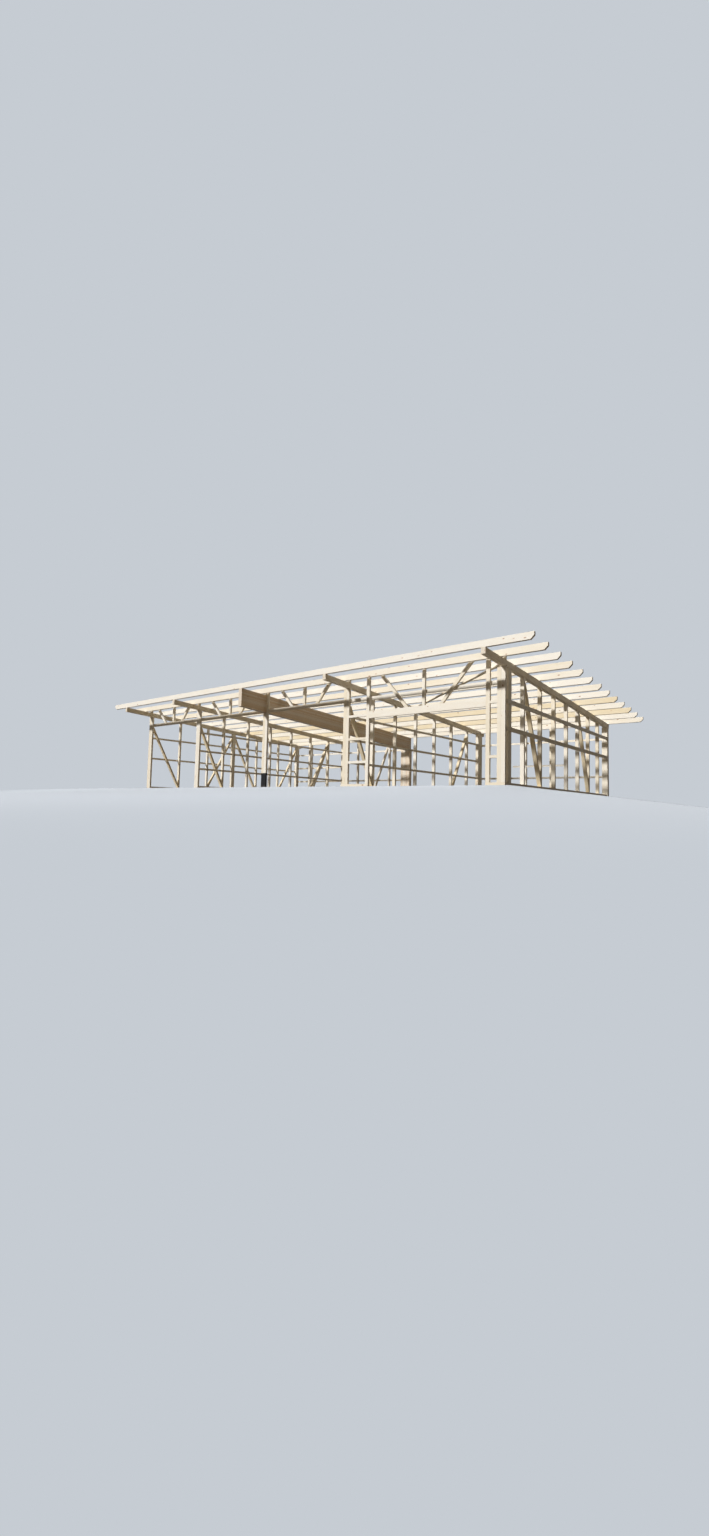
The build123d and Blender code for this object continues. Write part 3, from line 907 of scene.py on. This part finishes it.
class Fastener:
    """A kind of fastener that Geometry Nodes put on every spot of a list.

    A subclass gives the named sizes and draws one fastener out of mesh nodes. Its foot is at the origin
    and it points along Z. Sizes that are given when it is made take the place of its own.
    """

    title: str = "fastener"
    seed: int = 7
    sizes: dict[str, float] = {}

    def __init__(self, title: str | None = None, **sizes: float) -> None:
        """Take other sizes or another title than the kind's own.

        Args:
            title: Title of the node tree.
            **sizes: Sizes by name.
        """
        self.title = title or self.title
        self.sizes = {**self.sizes, **sizes}

    def draw(self, w: Wiring, size: dict[str, Socket]) -> list[Socket]:
        """Draw one fastener.

        Args:
            w: The wiring of the tree.
            size: The sockets of the named sizes.

        Returns:
            The meshes that make up the fastener.
        """
        raise NotImplementedError

    def tree(self) -> bpy.types.NodeTree:
        """Build the node tree that places the fastener on points.

        Returns:
            The tree, with an input for each named size, for the spin and its seed and for the material.
        """
        tree = bpy.data.node_groups.new(self.title, "GeometryNodeTree")
        kinds = {"Geometry": "Geometry", **dict.fromkeys(self.sizes, "Float")}
        kinds |= {"Spin": "Float", "Seed": "Int", "Material": "Material"}
        for name, kind in kinds.items():
            tree.interface.new_socket(name=name, in_out="INPUT", socket_type=f"NodeSocket{kind}")
        tree.interface.new_socket(name="Geometry", in_out="OUTPUT", socket_type="NodeSocketGeometry")
        w = Wiring(tree)
        source = w.add("NodeGroupInput").outputs
        join = w.add("GeometryNodeJoinGeometry")
        for part in self.draw(w, {name: source[name] for name in self.sizes}):
            tree.links.new(part, join.inputs[0])
        turn = w.add("GeometryNodeInputNamedAttribute", {"Name": "turn"}, data_type="FLOAT_VECTOR")
        facing = w.add("FunctionNodeEulerToRotation", {0: turn.outputs["Attribute"]})
        chance = w.add("FunctionNodeRandomValue", {"Seed": source["Seed"]}, data_type="FLOAT")
        spin = w.join(0.0, 0.0, w.times(chance.outputs[1], source["Spin"]))
        own = w.add("FunctionNodeEulerToRotation", {0: spin})
        turns = {0: facing.outputs[0], 1: own.outputs[0]}
        both = w.add("FunctionNodeRotateRotation", turns, rotation_space="LOCAL")
        inputs = {"Points": source["Geometry"], "Instance": join.outputs[0], "Rotation": both.outputs[0]}
        placed = w.add("GeometryNodeInstanceOnPoints", inputs)
        real = w.add("GeometryNodeRealizeInstances", {0: placed.outputs[0]})
        inputs = {"Geometry": real.outputs[0], "Material": source["Material"]}
        dressed = w.add("GeometryNodeSetMaterial", inputs)
        w.add("NodeGroupOutput", {0: dressed.outputs[0]})
        return tree

    def place(
        self, name: str, spots: Sequence[Spot], material: Material, spin: float = 0.0
    ) -> bpy.types.Object:
        """Put the fastener on all spots, as one plain mesh.

        Args:
            name: The piece's name.
            spots: Where the fasteners go.
            material: Their finish.
            spin: Largest random turn about their own axis.

        Returns:
            The finished piece.
        """
        points = bpy.data.meshes.new(f"{name}.points")
        points.from_pydata([spot.place for spot in spots], [], [])
        turns = points.attributes.new("turn", "FLOAT_VECTOR", "POINT")
        for item, spot in zip(turns.data, spots):
            item.vector = spot.turn()
        carrier = place_object(f"{name}.carrier", points)
        modifier = carrier.modifiers.new("fasteners", "NODES")
        modifier.node_group = self.tree()
        values = {**self.sizes, "Spin": spin, "Seed": self.seed, "Material": material}
        for item in modifier.node_group.interface.items_tree:
            if item.in_out == "INPUT" and item.name in values:
                modifier[item.identifier] = values[item.name]
        graph = bpy.context.evaluated_depsgraph_get()
        data = bpy.data.meshes.new_from_object(carrier.evaluated_get(graph), depsgraph=graph)
        data.name = name
        carrier.modifiers.remove(modifier)
        bpy.data.objects.remove(carrier)
        if "turn" in data.attributes:
            data.attributes.remove(data.attributes["turn"])
        piece = place_object(name, data)
        if not data.materials:
            data.materials.append(material)
        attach(piece, BODY)
        log.info("%s: %d fasteners, %d faces", name, len(spots), len(data.polygons))
        return piece

    @staticmethod
    def cylinder(w: Wiring, sides: int, radius: object, height: object, lift: object) -> Socket:
        """Add an upright cylinder.

        Args:
            w: The wiring of the tree.
            sides: How many sides it has.
            radius: Its radius.
            height: Its height.
            lift: Height of its foot.

        Returns:
            The mesh.
        """
        mesh = w.add("GeometryNodeMeshCylinder", {"Vertices": sides, "Radius": radius, "Depth": height})
        return w.moved(mesh.outputs["Mesh"], w.join(0.0, 0.0, w.maths("MULTIPLY_ADD", height, 0.5, lift)))

    @staticmethod
    def plate(w: Wiring, size: Sequence[object], middle: Sequence[object]) -> Socket:
        """Add a plate that lies square.

        Args:
            w: The wiring of the tree.
            size: Its size along each axis.
            middle: The coordinates of its middle.

        Returns:
            The mesh.
        """
        mesh = w.add("GeometryNodeMeshCube", {"Size": w.join(*size)})
        return w.moved(mesh.outputs["Mesh"], w.join(*middle))


class WasherScrew(Fastener):
    """Timber screw with a flat washer head, drawn in flush.

    Attributes:
        crown: Height of the crown on the head.
        recess: Height of the disc that stands for its socket.
    """

    title = "washer_screw"
    sizes = {"Head Radius": 0.011, "Head Height": 0.0032, "Crown Radius": 0.55 * 0.011}
    crown = 0.0022
    recess = 0.0004

    def draw(self, w: Wiring, size: dict[str, Socket]) -> list[Socket]:
        """Draw the washer head, the crown and what stands for its socket."""
        top, radius = size["Head Height"], size["Crown Radius"]
        head = self.cylinder(w, 14, size["Head Radius"], top, 0.0)
        crown = self.cylinder(w, 10, radius, self.crown, top)
        socket = self.cylinder(w, 6, w.times(radius, 0.45), self.recess, w.maths("ADD", top, self.crown))
        return [head, crown, socket]


class AngleBracket(Fastener):
    """Zinc-coated angle bracket with a pressed rib, nailed to both timbers.

    The bracket's corner is at the origin. One leg lies on the surface along Y, the other stands up
    along Z against the timber at Y = 0.

    Attributes:
        rib: Width of the rib.
        nail_height: Height of a nail's head, half of it in the sheet.
    """

    title = "angle_bracket"
    sizes = {"Leg": 0.09, "Width": 0.065, "Sheet": 0.0025, "Nail Radius": 0.0045}
    rib = 0.009
    nail_height = 0.0032

    def draw(self, w: Wiring, size: dict[str, Socket]) -> list[Socket]:
        """Draw both legs, the rib in their corner and the nail heads."""
        leg, width, sheet, nail = (size[name] for name in ("Leg", "Width", "Sheet", "Nail Radius"))
        half_leg, half_sheet, quarter_turn = w.times(leg, 0.5), w.times(sheet, 0.5), math.pi / 2
        flat = self.plate(w, (width, leg, sheet), (0.0, half_leg, half_sheet))
        upright = self.plate(w, (width, sheet, leg), (0.0, half_sheet, half_leg))
        radius = w.times(w.times(leg, 0.3), 0.42)
        rib = w.add("GeometryNodeMeshCylinder", {"Vertices": 10, "Radius": radius, "Depth": self.rib})
        parts = [flat, upright, w.moved(rib.outputs["Mesh"], turn=(0.0, quarter_turn, 0.0))]
        inputs = {"Vertices": 8, "Radius": nail, "Depth": self.nail_height}
        head = w.add("GeometryNodeMeshCylinder", inputs).outputs["Mesh"]
        for across in (-0.3, 0.3):
            for far in (0.5, 0.82):
                side, reach = w.times(width, across), w.times(leg, far)
                parts.append(w.moved(head, w.join(side, reach, sheet)))
                parts.append(w.moved(head, w.join(side, sheet, reach), (quarter_turn, 0.0, 0.0)))
        return parts


class AnchorBolt(Fastener):
    """Anchor rod with a square washer plate and a nut, which holds a sole or a plate down."""

    title = "anchor_bolt"
    sizes = {"Washer": 0.05, "Plate": 0.004, "Rod": 0.012, "Nut Height": 0.010, "Stick Out": 0.012}

    def draw(self, w: Wiring, size: dict[str, Socket]) -> list[Socket]:
        """Draw the washer plate, the nut and the end of the rod."""
        side, plate, rod, nut = (size[name] for name in ("Washer", "Plate", "Rod", "Nut Height"))
        washer = self.plate(w, (side, side, plate), (0.0, 0.0, w.times(plate, 0.5)))
        hexagon = self.cylinder(w, 6, w.times(rod, 0.9), nut, plate)
        end = self.cylinder(w, 12, w.times(rod, 0.5), size["Stick Out"], w.maths("ADD", plate, nut))
        return [washer, hexagon, end]


@dataclass
class FrameFasteners:
    """All fasteners of the frame, on spots worked out from the dressed timbers.

    Attributes:
        dresser: The dresser, which knows the box of every solid.
        zinc: Finish of the fasteners.
        bracket: The purlins' angle bracket.
        screw: The screw of purlins, rails and struts.
        anchor: The anchor of the soles.
        purlin_step: Way of a purlin's two screws from the beam's middle.
        rail_step: Way of a rail's two screws from the crossing's middle.
        strut_step: Way of a strut's two screws from its middle.
        strut_foot: Height of a strut's lower screws above its foot.
        strut_head: Depth of its upper screws below its head.
        upright: Width from which a strut counts as leaning.
        lean_width: Width of a leaning strut, measured level.
        anchor_spin: Largest turn of an anchor's washer plate and nut.
    """

    dresser: TimberDresser
    zinc: Material
    bracket: AngleBracket = field(default_factory=AngleBracket)
    screw: WasherScrew = field(default_factory=WasherScrew)
    anchor: AnchorBolt = field(default_factory=AnchorBolt)
    purlin_step: float = 0.04
    rail_step: float = 0.022
    strut_step: float = 0.025
    strut_foot: float = 0.055
    strut_head: float = 0.2
    upright: float = 0.2
    lean_width: float = 0.159
    anchor_spin: float = 0.3

    def line_middle(self, line: str) -> float:
        """Middle of a post line across the front."""
        low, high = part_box(BINDER if line == "c" else f"roof_beam_{line}")
        return (low[0] + high[0]) / 2

    def purlin_brackets(self) -> bpy.types.Object:
        """Angle brackets behind the purlins, in front of the last one, on every beam and the binder."""
        spots = []
        for number in range(1, PURLINS + 1):
            way = SLOPE_DOWN if number < PURLINS else -SLOPE_DOWN
            middle = Box.of(f"purlin_{number:02d}").middle
            corner = middle + way * PURLIN_HALF_DEEP - SLOPE_NORMAL * PURLIN_HALF_HIGH
            for line in LINES:
                place = Vector((self.line_middle(line), corner.y, corner.z))
                spots.append(Spot(place, SLOPE_NORMAL, way))
        return self.bracket.place("purlin_brackets", spots, self.zinc)

    def purlin_screws(self) -> bpy.types.Object:
        """Long screws down through the purlins into every beam, in pairs."""
        spots = []
        for number in range(1, PURLINS + 1):
            top = Box.of(f"purlin_{number:02d}").middle + SLOPE_NORMAL * PURLIN_HALF_HIGH
            for line in LINES:
                for side in (-self.purlin_step, self.purlin_step):
                    place = Vector((self.line_middle(line) + side, top.y, top.z))
                    spots.append(Spot(place + SLOPE_DOWN * side * 0.5, SLOPE_NORMAL, SLOPE_DOWN))
        return self.screw.place("purlin_screws", spots, self.zinc, spin=math.tau)

    def rail_screws(self) -> bpy.types.Object:
        """Two screws wherever a rail crosses a stud, on the rail's outer face."""
        spots = []
        steps = (-self.rail_step, self.rail_step)
        for line in WALL_LINES:
            side = -1 if line == "a" else 1
            for rail in self.dresser.solids[f"rails_{line}"]:
                face = rail.low.x if side < 0 else rail.high.x
                for stud in self.dresser.solids[f"studs_{line}"]:
                    for step in steps:
                        place = Vector((face, stud.middle.y + step, rail.middle.z + step))
                        spots.append(Spot(place, RIGHT * side))
        for rail in self.dresser.solids["rear_rails"]:
            for x in self._studs_between(rail):
                for step in steps:
                    place = Vector((x + step, rail.high.y, rail.middle.z + step))
                    spots.append(Spot(place, BACK))
        return self.screw.place("rail_screws", spots, self.zinc, spin=math.tau)

    def sole_anchors(self) -> bpy.types.Object:
        """Anchors through the soles, midway between the studs."""
        spots = []
        for line in WALL_LINES:
            sole = self.dresser.solids[f"sole_{line}"][0]
            studs = [stud.middle.y for stud in self.dresser.solids[f"studs_{line}"]]
            for y in self._gaps(sole.low.y, studs, sole.high.y):
                spots.append(Spot(Vector((sole.middle.x, y, sole.high.z)), UP, BACK))
        for sole in self.dresser.solids["rear_soles"]:
            for x in self._gaps(sole.low.x, sorted(self._studs_between(sole)), sole.high.x):
                spots.append(Spot(Vector((x, sole.middle.y, sole.high.z)), UP, BACK))
        return self.anchor.place("sole_anchors", spots, self.zinc, spin=self.anchor_spin)

    def strut_screws(self) -> bpy.types.Object:
        """Screws on the front face at the foot and the head of every strut of the lattice."""
        spots = []
        half = self.lean_width / 2
        for strut in self.dresser.solids["front_struts"]:
            wide, _, tall = strut.size
            for level in (strut.low.z + self.strut_foot, strut.high.z - self.strut_head):
                x = strut.middle.x
                if wide >= self.upright:
                    rising = self._rises_to_right(strut)
                    start = strut.low.x + half if rising else strut.high.x - half
                    run = wide - self.lean_width
                    x = start + (run if rising else -run) * ((level - strut.low.z) / tall)
                for step in (-self.strut_step, self.strut_step):
                    spots.append(Spot(Vector((x + step, strut.low.y, level)), -BACK))
        return self.screw.place("strut_screws", spots, self.zinc, spin=math.tau)

    def _studs_between(self, piece: Box) -> list[float]:
        """Middles of the rear studs that a rear rail or sole passes."""
        middles = [stud.middle.x for stud in self.dresser.solids["rear_studs"]]
        return [x for x in middles if piece.low.x < x < piece.high.x]

    @staticmethod
    def _gaps(low: float, studs: Iterable[float], high: float) -> list[float]:
        """Middles of the gaps that studs leave between two ends."""
        stops = [low, *studs, high]
        return [(before + after) / 2 for before, after in zip(stops, stops[1:])]

    def _rises_to_right(self, strut: Box) -> bool:
        """Whether a leaning strut lies right of its bay's upright one, and so leans to the right."""
        uprights = [box.middle.x for box in self.dresser.solids["front_struts"] if box.size.x < self.upright]
        return strut.middle.x > min(uprights, key=lambda x: abs(x - strut.middle.x))

    def build(self) -> None:
        """Build every kind of fastener in turn."""
        self.purlin_brackets()
        self.purlin_screws()
        self.rail_screws()
        self.sole_anchors()
        self.strut_screws()


@dataclass
class StubFixings:
    """Weld beads and bolts of the black steel stub under post c, inside its channel.

    Attributes:
        plate: Thickness of the base plate and the cap plate.
        bead: Leg of a weld bead.
        flange: Thickness of the flanges.
        web: Thickness of the web.
        root: Radius of the roots between web and flanges.
        bead_step: Length of one wave of a bead.
        bead_gap: Way between a root and the bead's end.
        bead_stop: Way between the open side and the bead's end.
        bolt_side: Way of a bolt from the middle, along the front.
        bolt_back: Way of a bolt behind the middle.
    """

    plate: float = 0.015
    bead: float = 0.007
    flange: float = 0.016
    web: float = 0.010
    root: float = 0.016
    bead_step: float = 0.006
    bead_gap: float = 0.002
    bead_stop: float = 0.012
    bolt_side: float = 0.078
    bolt_back: float = 0.006

    def levels(self) -> tuple[tuple[float, int], tuple[float, int]]:
        """Inner faces of both plates: each one's height, and 1 or -1 for the way off it."""
        stub = Box.of(STUB)
        return (stub.low.z + self.plate, 1), (stub.high.z - self.plate, -1)

    def welds(self, paint: Material) -> bpy.types.Object:
        """Fillet welds between the inside of the channel and both plates.

        Args:
            paint: Finish of the stub.

        Returns:
            The finished piece.
        """
        stub = Box.of(STUB)
        mesh = bmesh.new()
        back, left, right = stub.low.y + self.web, stub.low.x + self.flange, stub.high.x - self.flange
        clear = self.root + self.bead_gap
        for level, up in self.levels():
            start = Vector((left + clear, back, level))
            self._bead(mesh, start, RIGHT, right - left - 2 * clear, BACK, up)
            length = stub.high.y - back - clear - self.bead_stop
            for edge, out in ((left, RIGHT), (right, -RIGHT)):
                self._bead(mesh, Vector((edge, back + clear, level)), BACK, length, out, up)
        piece = place_mesh("stub_welds", mesh, paint)
        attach(piece, BODY)
        return piece

    def _bead(
        self, mesh: bmesh.types.BMesh, start: Vector, along: Vector, length: float, out: Vector, up: int
    ) -> None:
        """Add one wavy weld bead.

        Args:
            mesh: The mesh that it is added to.
            start: Its start, on the corner line.
            along: Direction of the corner line.
            length: Its length.
            out: Direction away from the upright face.
            up: 1 where it lies above the corner line, -1 where it lies below.
        """
        steps = max(6, int(length / self.bead_step))
        rise = UP * up
        rows = []
        for number in range(steps + 1):
            swell = self.bead * (1.0 + 0.1 * (-1) ** number)
            foot = start + along * (length * number / steps)
            ring = [foot - (out + rise) * 0.001]
            for angle, share in ((0.0, 1.0), (math.pi / 4, 0.82), (math.pi / 2, 1.0)):
                ring.append(foot + (out * math.cos(angle) + rise * math.sin(angle)) * (swell * share))
            rows.append([mesh.verts.new(point) for point in ring])
        faces = [mesh.faces.new(rows[0]), mesh.faces.new(list(reversed(rows[-1])))]
        for near, far in zip(rows, rows[1:]):
            for one in range(4):
                two = (one + 1) % 4
                faces.append(mesh.faces.new((near[one], far[one], far[two], near[two])))
        bmesh.ops.recalc_face_normals(mesh, faces=faces)

    def build(self, paint: Material, zinc: Material) -> None:
        """Dress the stub and add its welds and bolts.

        Args:
            paint: Finish of the stub.
            zinc: Finish of the bolts.
        """
        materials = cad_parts[STUB].data.materials
        materials.clear()
        materials.append(paint)
        self.welds(paint)
        middle = Box.of(STUB).middle
        spots = []
        for x in (-self.bolt_side, self.bolt_side):
            for level, up in self.levels():
                place = Vector((middle.x + x, middle.y + self.bolt_back, level))
                spots.append(Spot(place, UP * up, BACK))
        AnchorBolt("stub_bolt", Washer=0.04, Rod=0.016).place("stub_bolts", spots, zinc)


@dataclass
class Studio:
    """Floor, backdrop, soft light and camera.

    The floor is level under the frame and behind it. In front and on the right it falls gently away,
    so that the camera can stand below the frame's feet and look up at the roof.

    Attributes:
        margin: Width of the level floor outside the feet.
        crest: Radius with which the level part turns into the falling part.
        fall_front: Fall of the floor in front, as a share of the way.
        fall_right: Fall of the floor on the right.
        fill: Strength of the light from all round.
        fill_colour: Its colour.
        key: Strength of the main light.
        key_spread: Width of the main light as an angle in degrees.
        rear: Strength of the light on the frame's back.
        rear_spread: Width of that light as an angle in degrees.
        eye: Place of the camera.
        yaw: Turn of the camera to the left, in radians.
        pitch: Its turn upwards, in radians.
        roll: Its turn about the way it looks, in radians.
        focal: Its focal length in pixels of the frame.
        frame_height: Height of the frame in pixels.
        floor_finish: Finish of the floor, which also gives the backdrop's colour.
    """

    margin: float = 0.04
    crest: float = 0.25
    fall_front: float = 0.075
    fall_right: float = 0.12
    fill: float = 0.115
    fill_colour: Colour = colour(255, 234, 204)
    key: float = 3.6
    key_spread: float = 3.2
    rear: float = 1.2
    rear_spread: float = 40.0
    eye: tuple[float, float, float] = (18.7181, -23.6120, -0.9232)
    yaw: float = 0.67741
    pitch: float = 0.07117
    roll: float = 0.02370
    focal: float = 581.530
    frame_height: float = 1536.0
    floor_finish: StudioFloor = field(default_factory=StudioFloor)

    def build(self) -> None:
        """Build the whole studio."""
        self.floor()
        self.backdrop()
        self.lamps()
        self.camera()
        bpy.context.scene.view_settings.view_transform = "Standard"

    def floor(self) -> bpy.types.Object:
        """Lay the floor at the height of the soles' undersides, as a net of ever wider meshes.

        Returns:
            The floor.
        """
        boxes = [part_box(node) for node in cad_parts]
        feet = [box for box in boxes if box[0][2] < 0.001]
        ways = [0.06 * 1.5**number for number in range(20)]
        nets = []
        for axis in range(2):
            low = min(box[0][axis] for box in feet) - self.margin
            high = max(box[1][axis] for box in feet) + self.margin
            nets.append([low - way for way in reversed(ways)] + [low, high] + [high + way for way in ways])
        front, right = nets[1][len(ways)], nets[0][len(ways) + 1]
        mesh = bmesh.new()
        rows = [
            [mesh.verts.new((x, y, self.level(x - right, front - y))) for x in nets[0]] for y in nets[1]
        ]
        for near, far in zip(rows, rows[1:]):
            for one in range(len(near) - 1):
                mesh.faces.new((near[one], near[one + 1], far[one + 1], far[one])).smooth = True
        floor = place_mesh("studio_floor", mesh, self.floor_finish.build())
        return floor

    def level(self, right: float, ahead: float) -> float:
        """Height of the floor.

        Args:
            right: Way to the right of the level part, negative where it is level.
            ahead: Way in front of the level part, negative where it is level.

        Returns:
            The height, 0 where the floor is level.
        """
        flat = self.crest * self.fall_front
        falls = (self.fall_right * max(0.0, right), self.fall_front * max(0.0, ahead))
        return flat - math.hypot(*falls, flat)

    def backdrop(self) -> None:
        """Light the world evenly and show the backdrop's colour to the camera and in gloss."""
        world = bpy.data.worlds.new("studio")
        bpy.context.scene.world = world
        world.use_nodes = True
        w = Wiring(world.node_tree)
        light = world.node_tree.nodes["Background"]
        light.inputs["Color"].default_value = self.fill_colour
        light.inputs["Strength"].default_value = self.fill
        seen = w.add("ShaderNodeBackground", {"Color": self.floor_finish.tint, "Strength": 1.0})
        share = w.looked_at(w.add("ShaderNodeLightPath"))
        mix = w.add("ShaderNodeMixShader", {0: share, 1: light.outputs[0], 2: seen.outputs[0]})
        w.feed(world.node_tree.nodes["World Output"].inputs["Surface"], mix.outputs[0])

    def lamps(self) -> None:
        """Hang a broad main light high on the front left and a very soft one behind the frame."""
        for name, strength, spread, way in (
            ("key", self.key, self.key_spread, Vector((0.5, 1.0, -0.72))),
            ("rear", self.rear, self.rear_spread, Vector((0.35, -1.0, -0.6))),
        ):
            data = bpy.data.lights.new(name, "SUN")
            data.energy = strength
            data.angle = math.radians(spread)
            data.color = (1.0, 0.994, 0.982)
            place_object(name, data).rotation_euler = way.to_track_quat("-Z", "Y").to_euler()

    def camera(self) -> None:
        """Set the camera low in front of the right-hand corner."""
        across = Vector((math.cos(self.yaw), math.sin(self.yaw), 0.0))
        ahead = Vector((-math.sin(self.yaw), math.cos(self.yaw), 0.0))
        view = ahead * math.cos(self.pitch) + UP * math.sin(self.pitch)
        top = UP * math.cos(self.pitch) - ahead * math.sin(self.pitch)
        right = across * math.cos(self.roll) + top * math.sin(self.roll)
        up = top * math.cos(self.roll) - across * math.sin(self.roll)
        data = bpy.data.cameras.new("camera")
        data.sensor_fit = "VERTICAL"
        data.sensor_height = 36.0
        data.lens = data.sensor_height * self.focal / self.frame_height
        data.clip_start = 0.05
        data.clip_end = 400.0
        camera = place_object("camera", data)
        turn = Matrix((right, up, -view)).transposed()
        camera.matrix_world = Matrix.Translation(Vector(self.eye)) @ turn.to_4x4()
        bpy.context.scene.camera = camera


def timber_nodes() -> list[str]:
    """Names of all CAD nodes that are timber, in order."""
    return sorted(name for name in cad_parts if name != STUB)


def timber_tones() -> dict[str, float]:
    """Tone of the nodes that are paler or more yellow than chance would make them."""
    purlins = (0.04, 0.2, 0.0, 0.4, 0.12, 0.04, 0.2, 0.14, 0.82, 0.1, 0.82, 0.12, 0.2)
    tones = {f"purlin_{number:02d}": tone for number, tone in enumerate(purlins, 1)}
    tones |= {"wind_brace": 0.6, BINDER: 0.7, "rear_lath": 0.0}
    for line in WALL_LINES:
        tones[f"roof_beam_{line}"] = 0.55
        tones[f"braces_{line}"] = 0.8
    return tones


def main() -> None:
    logging.basicConfig(level=logging.INFO, format="%(name)s: %(message)s")
    grain = SpruceGrain().group()
    materials = {Cut.SAWN: SawnSpruce(grain).build(), Cut.GLUED: GluedSpruce(grain).build()}
    dresser = TimberDresser(materials, tones=timber_tones())
    glued = {BINDER, "rear_post_c"}
    total = 0
    for node in timber_nodes():
        piece = dresser.dress(node, Cut.GLUED if node in glued else Cut.SAWN)
        total += len(dresser.solids[node])
        log.info("%s: %d timbers, %d faces", node, len(dresser.solids[node]), len(piece.data.polygons))
    log.info("timbers in all: %d", total)
    AddedTimbers(dresser).build()
    zinc = ZincSteel().build()
    FrameFasteners(dresser, zinc).build()
    StubFixings().build(BlackPaint().build(), zinc)
    Studio().build()


if __name__ == "__main__":
    main()
